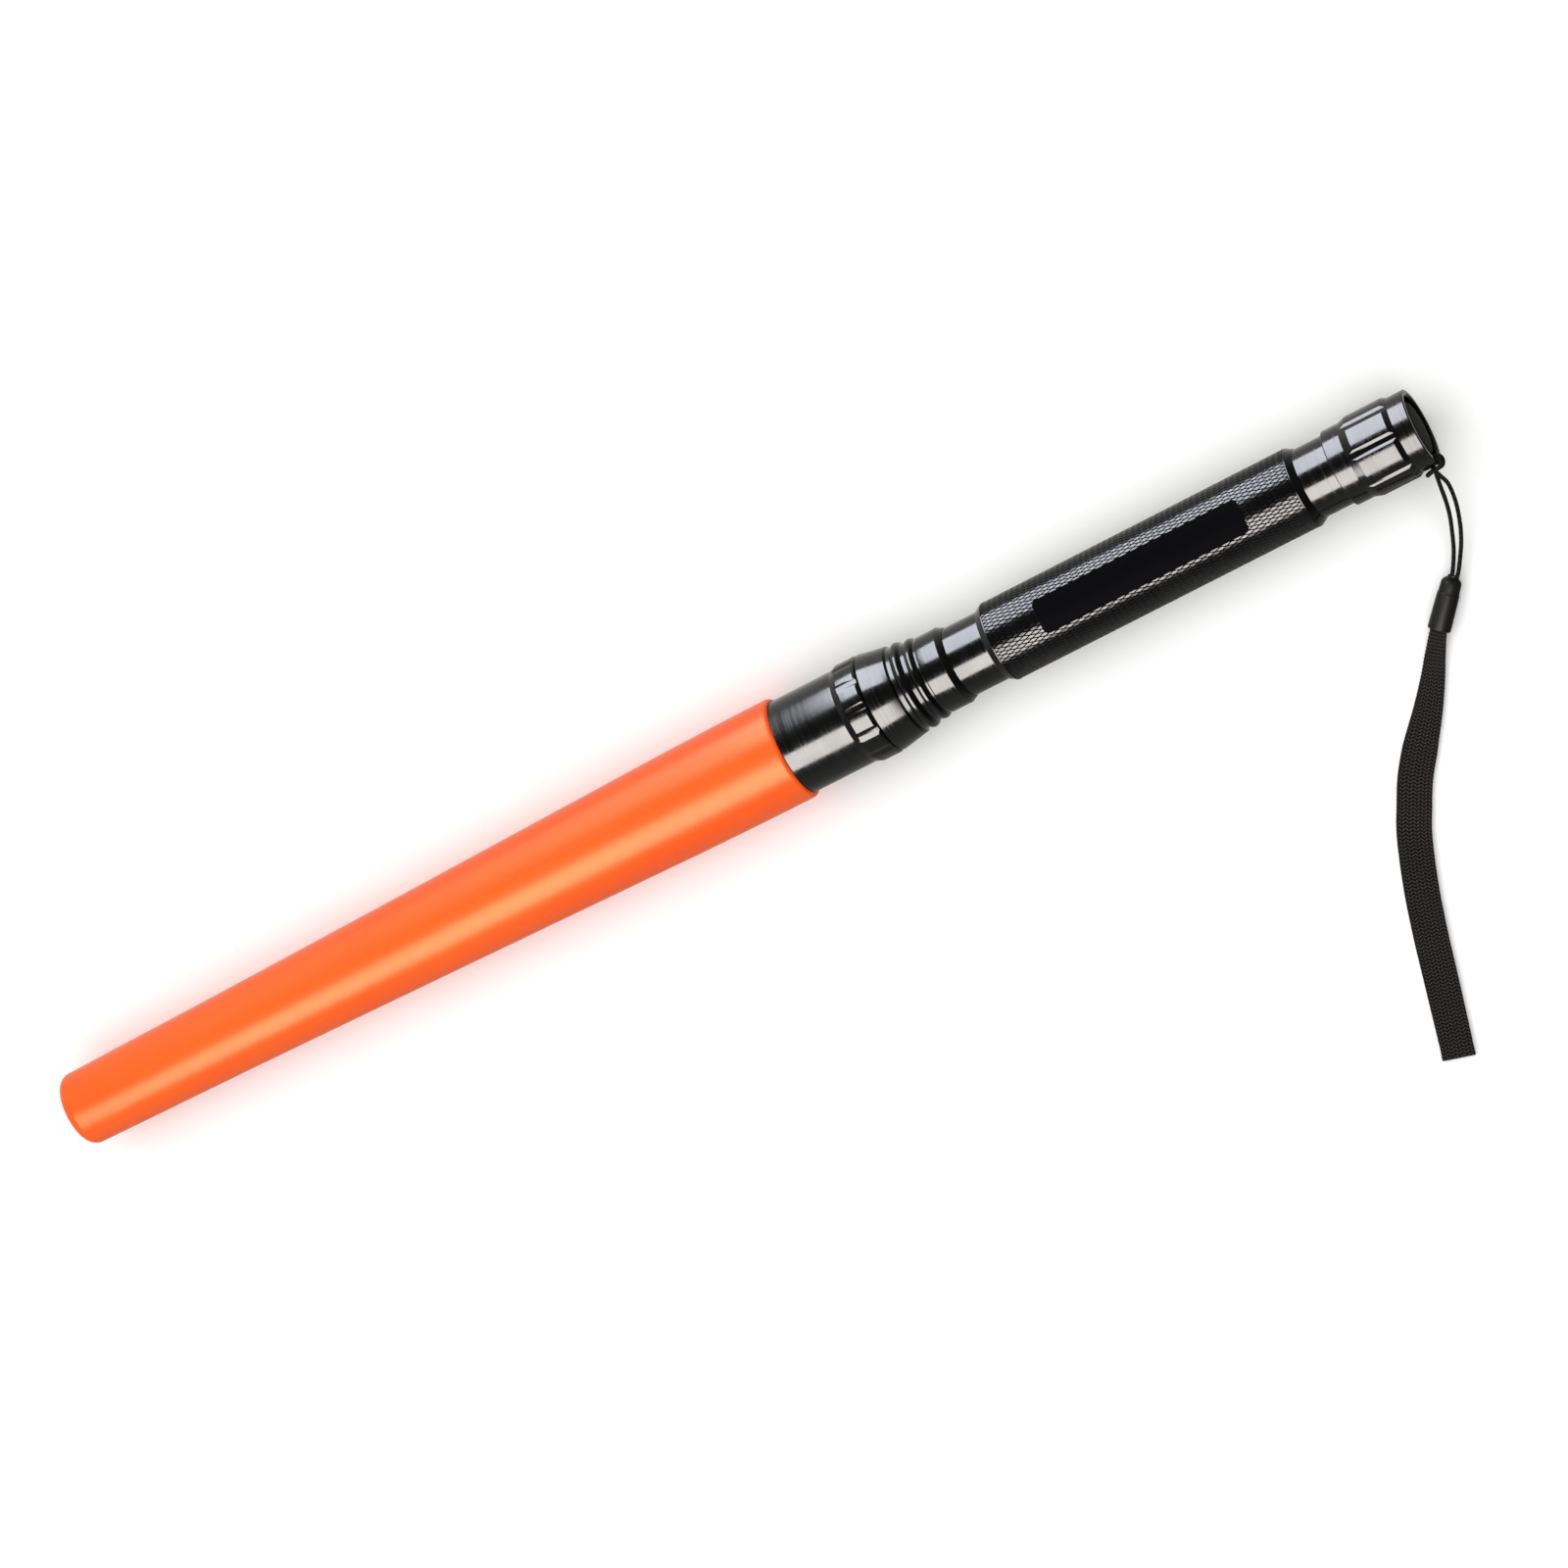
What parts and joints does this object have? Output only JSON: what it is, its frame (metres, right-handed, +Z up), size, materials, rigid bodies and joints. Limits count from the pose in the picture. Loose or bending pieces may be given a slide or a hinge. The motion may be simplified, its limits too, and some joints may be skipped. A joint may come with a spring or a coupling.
{
  "type": "traffic baton light",
  "caption": "Long round aluminium hand torch with a push-on tapering translucent traffic cone over its head and a wrist strap on its tailcap.",
  "frame": {"origin": "middle of the torch's length, under its axis, on the surface that its widest rim rests on", "axes": "+X along the torch from the cone's tip to the tail button, +Z up, -Y towards the side where the strap lies"},
  "size_m": [0.4764, 0.1897, 0.0329],
  "materials": {
    "cone_plastic": "translucent moulded polythene, satin",
    "black_anodised": "turned, gloss black anodised",
    "lens_glass": "clear toughened glass",
    "seal_rubber": "nitrile rubber, greased",
    "reflector_mirror": "vacuum plated bowl",
    "emitter_phosphor": "phosphor over a white substrate",
    "board_white": "white solder mask on aluminium",
    "lamp_brass": "turned brass",
    "board_green": "green solder mask",
    "gold_spring": "gold plated spring wire",
    "cell_wrap": "heat shrunk sleeve",
    "silver_ring": "plain turned aluminium",
    "switch_nylon": "moulded nylon",
    "spacer_plastic": "moulded acetal",
    "boot_rubber": "moulded silicone rubber, matt",
    "cord_nylon": "braided nylon cord",
    "bead_plastic": "moulded ABS, satin",
    "strap_webbing": "woven nylon tape"
  },
  "bodies": {
    "barrel": {"body_tube": "black_anodised", "battery_front": "cell_wrap", "battery_rear": "cell_wrap", "head_oring": "seal_rubber", "tail_oring": "seal_rubber"},
    "lamp": {"reflector": "reflector_mirror", "led_emitter": "emitter_phosphor", "led_board": "board_white", "lamp_pill": "lamp_brass", "driver_board": "board_green", "pill_spring_inner": "gold_spring", "pill_spring_outer": "gold_spring"},
    "head": {"head_shell": "black_anodised", "bezel_oring": "seal_rubber"},
    "lens": {"front_lens": "lens_glass", "lens_oring": "seal_rubber"},
    "bezel": {"bezel": "black_anodised"},
    "cone": {"diffuser_cone": "cone_plastic"},
    "tail_contact": {"tail_spring": "gold_spring"},
    "tailcap": {"tailcap_shell": "black_anodised", "switch_retaining_ring": "silver_ring", "switch_board": "board_green", "switch_housing": "switch_nylon", "switch_spacer": "spacer_plastic", "lanyard_cord": "cord_nylon", "lanyard_bead": "bead_plastic", "wrist_strap": "strap_webbing"},
    "button": {"switch_boot": "boot_rubber", "switch_plunger": "switch_nylon"}
  },
  "joints": [
    {"name": "head_travel", "type": "slide", "parent": "barrel", "child": "lamp", "axis": [-1, 0, 0], "range_m": [0, 0.007]},
    {"name": "head_turn", "type": "hinge", "parent": "lamp", "child": "head", "pos_m": [0, 0, 0.01645], "axis": [-1, 0, 0], "range_deg": [0, 2521]},
    {"name": "bezel_travel", "type": "slide", "parent": "head", "child": "lens", "axis": [-1, 0, 0], "range_m": [0, 0.007]},
    {"name": "bezel_turn", "type": "hinge", "parent": "lens", "child": "bezel", "pos_m": [0, 0, 0.01645], "axis": [-1, 0, 0], "range_deg": [0, 2521]},
    {"name": "cone_pull", "type": "slide", "parent": "bezel", "child": "cone", "axis": [-1, 0, 0], "range_m": [0, 0.02]},
    {"name": "tail_travel", "type": "slide", "parent": "barrel", "child": "tail_contact", "axis": [1, 0, 0], "range_m": [0, 0.007]},
    {"name": "tail_turn", "type": "hinge", "parent": "tail_contact", "child": "tailcap", "pos_m": [0, 0, 0.01645], "axis": [1, 0, 0], "range_deg": [0, 2521]},
    {"name": "button_press", "type": "slide", "parent": "tailcap", "child": "button", "axis": [-1, 0, 0], "range_m": [0, 0.0015], "stiffness_N_per_m": 2500}
  ],
  "couplings": [
    {"joint": "head_turn", "follows": "head_travel", "rad_per_m": 6283.2},
    {"joint": "bezel_turn", "follows": "bezel_travel", "rad_per_m": 6283.2},
    {"joint": "tail_turn", "follows": "tail_travel", "rad_per_m": 6283.2}
  ]
}
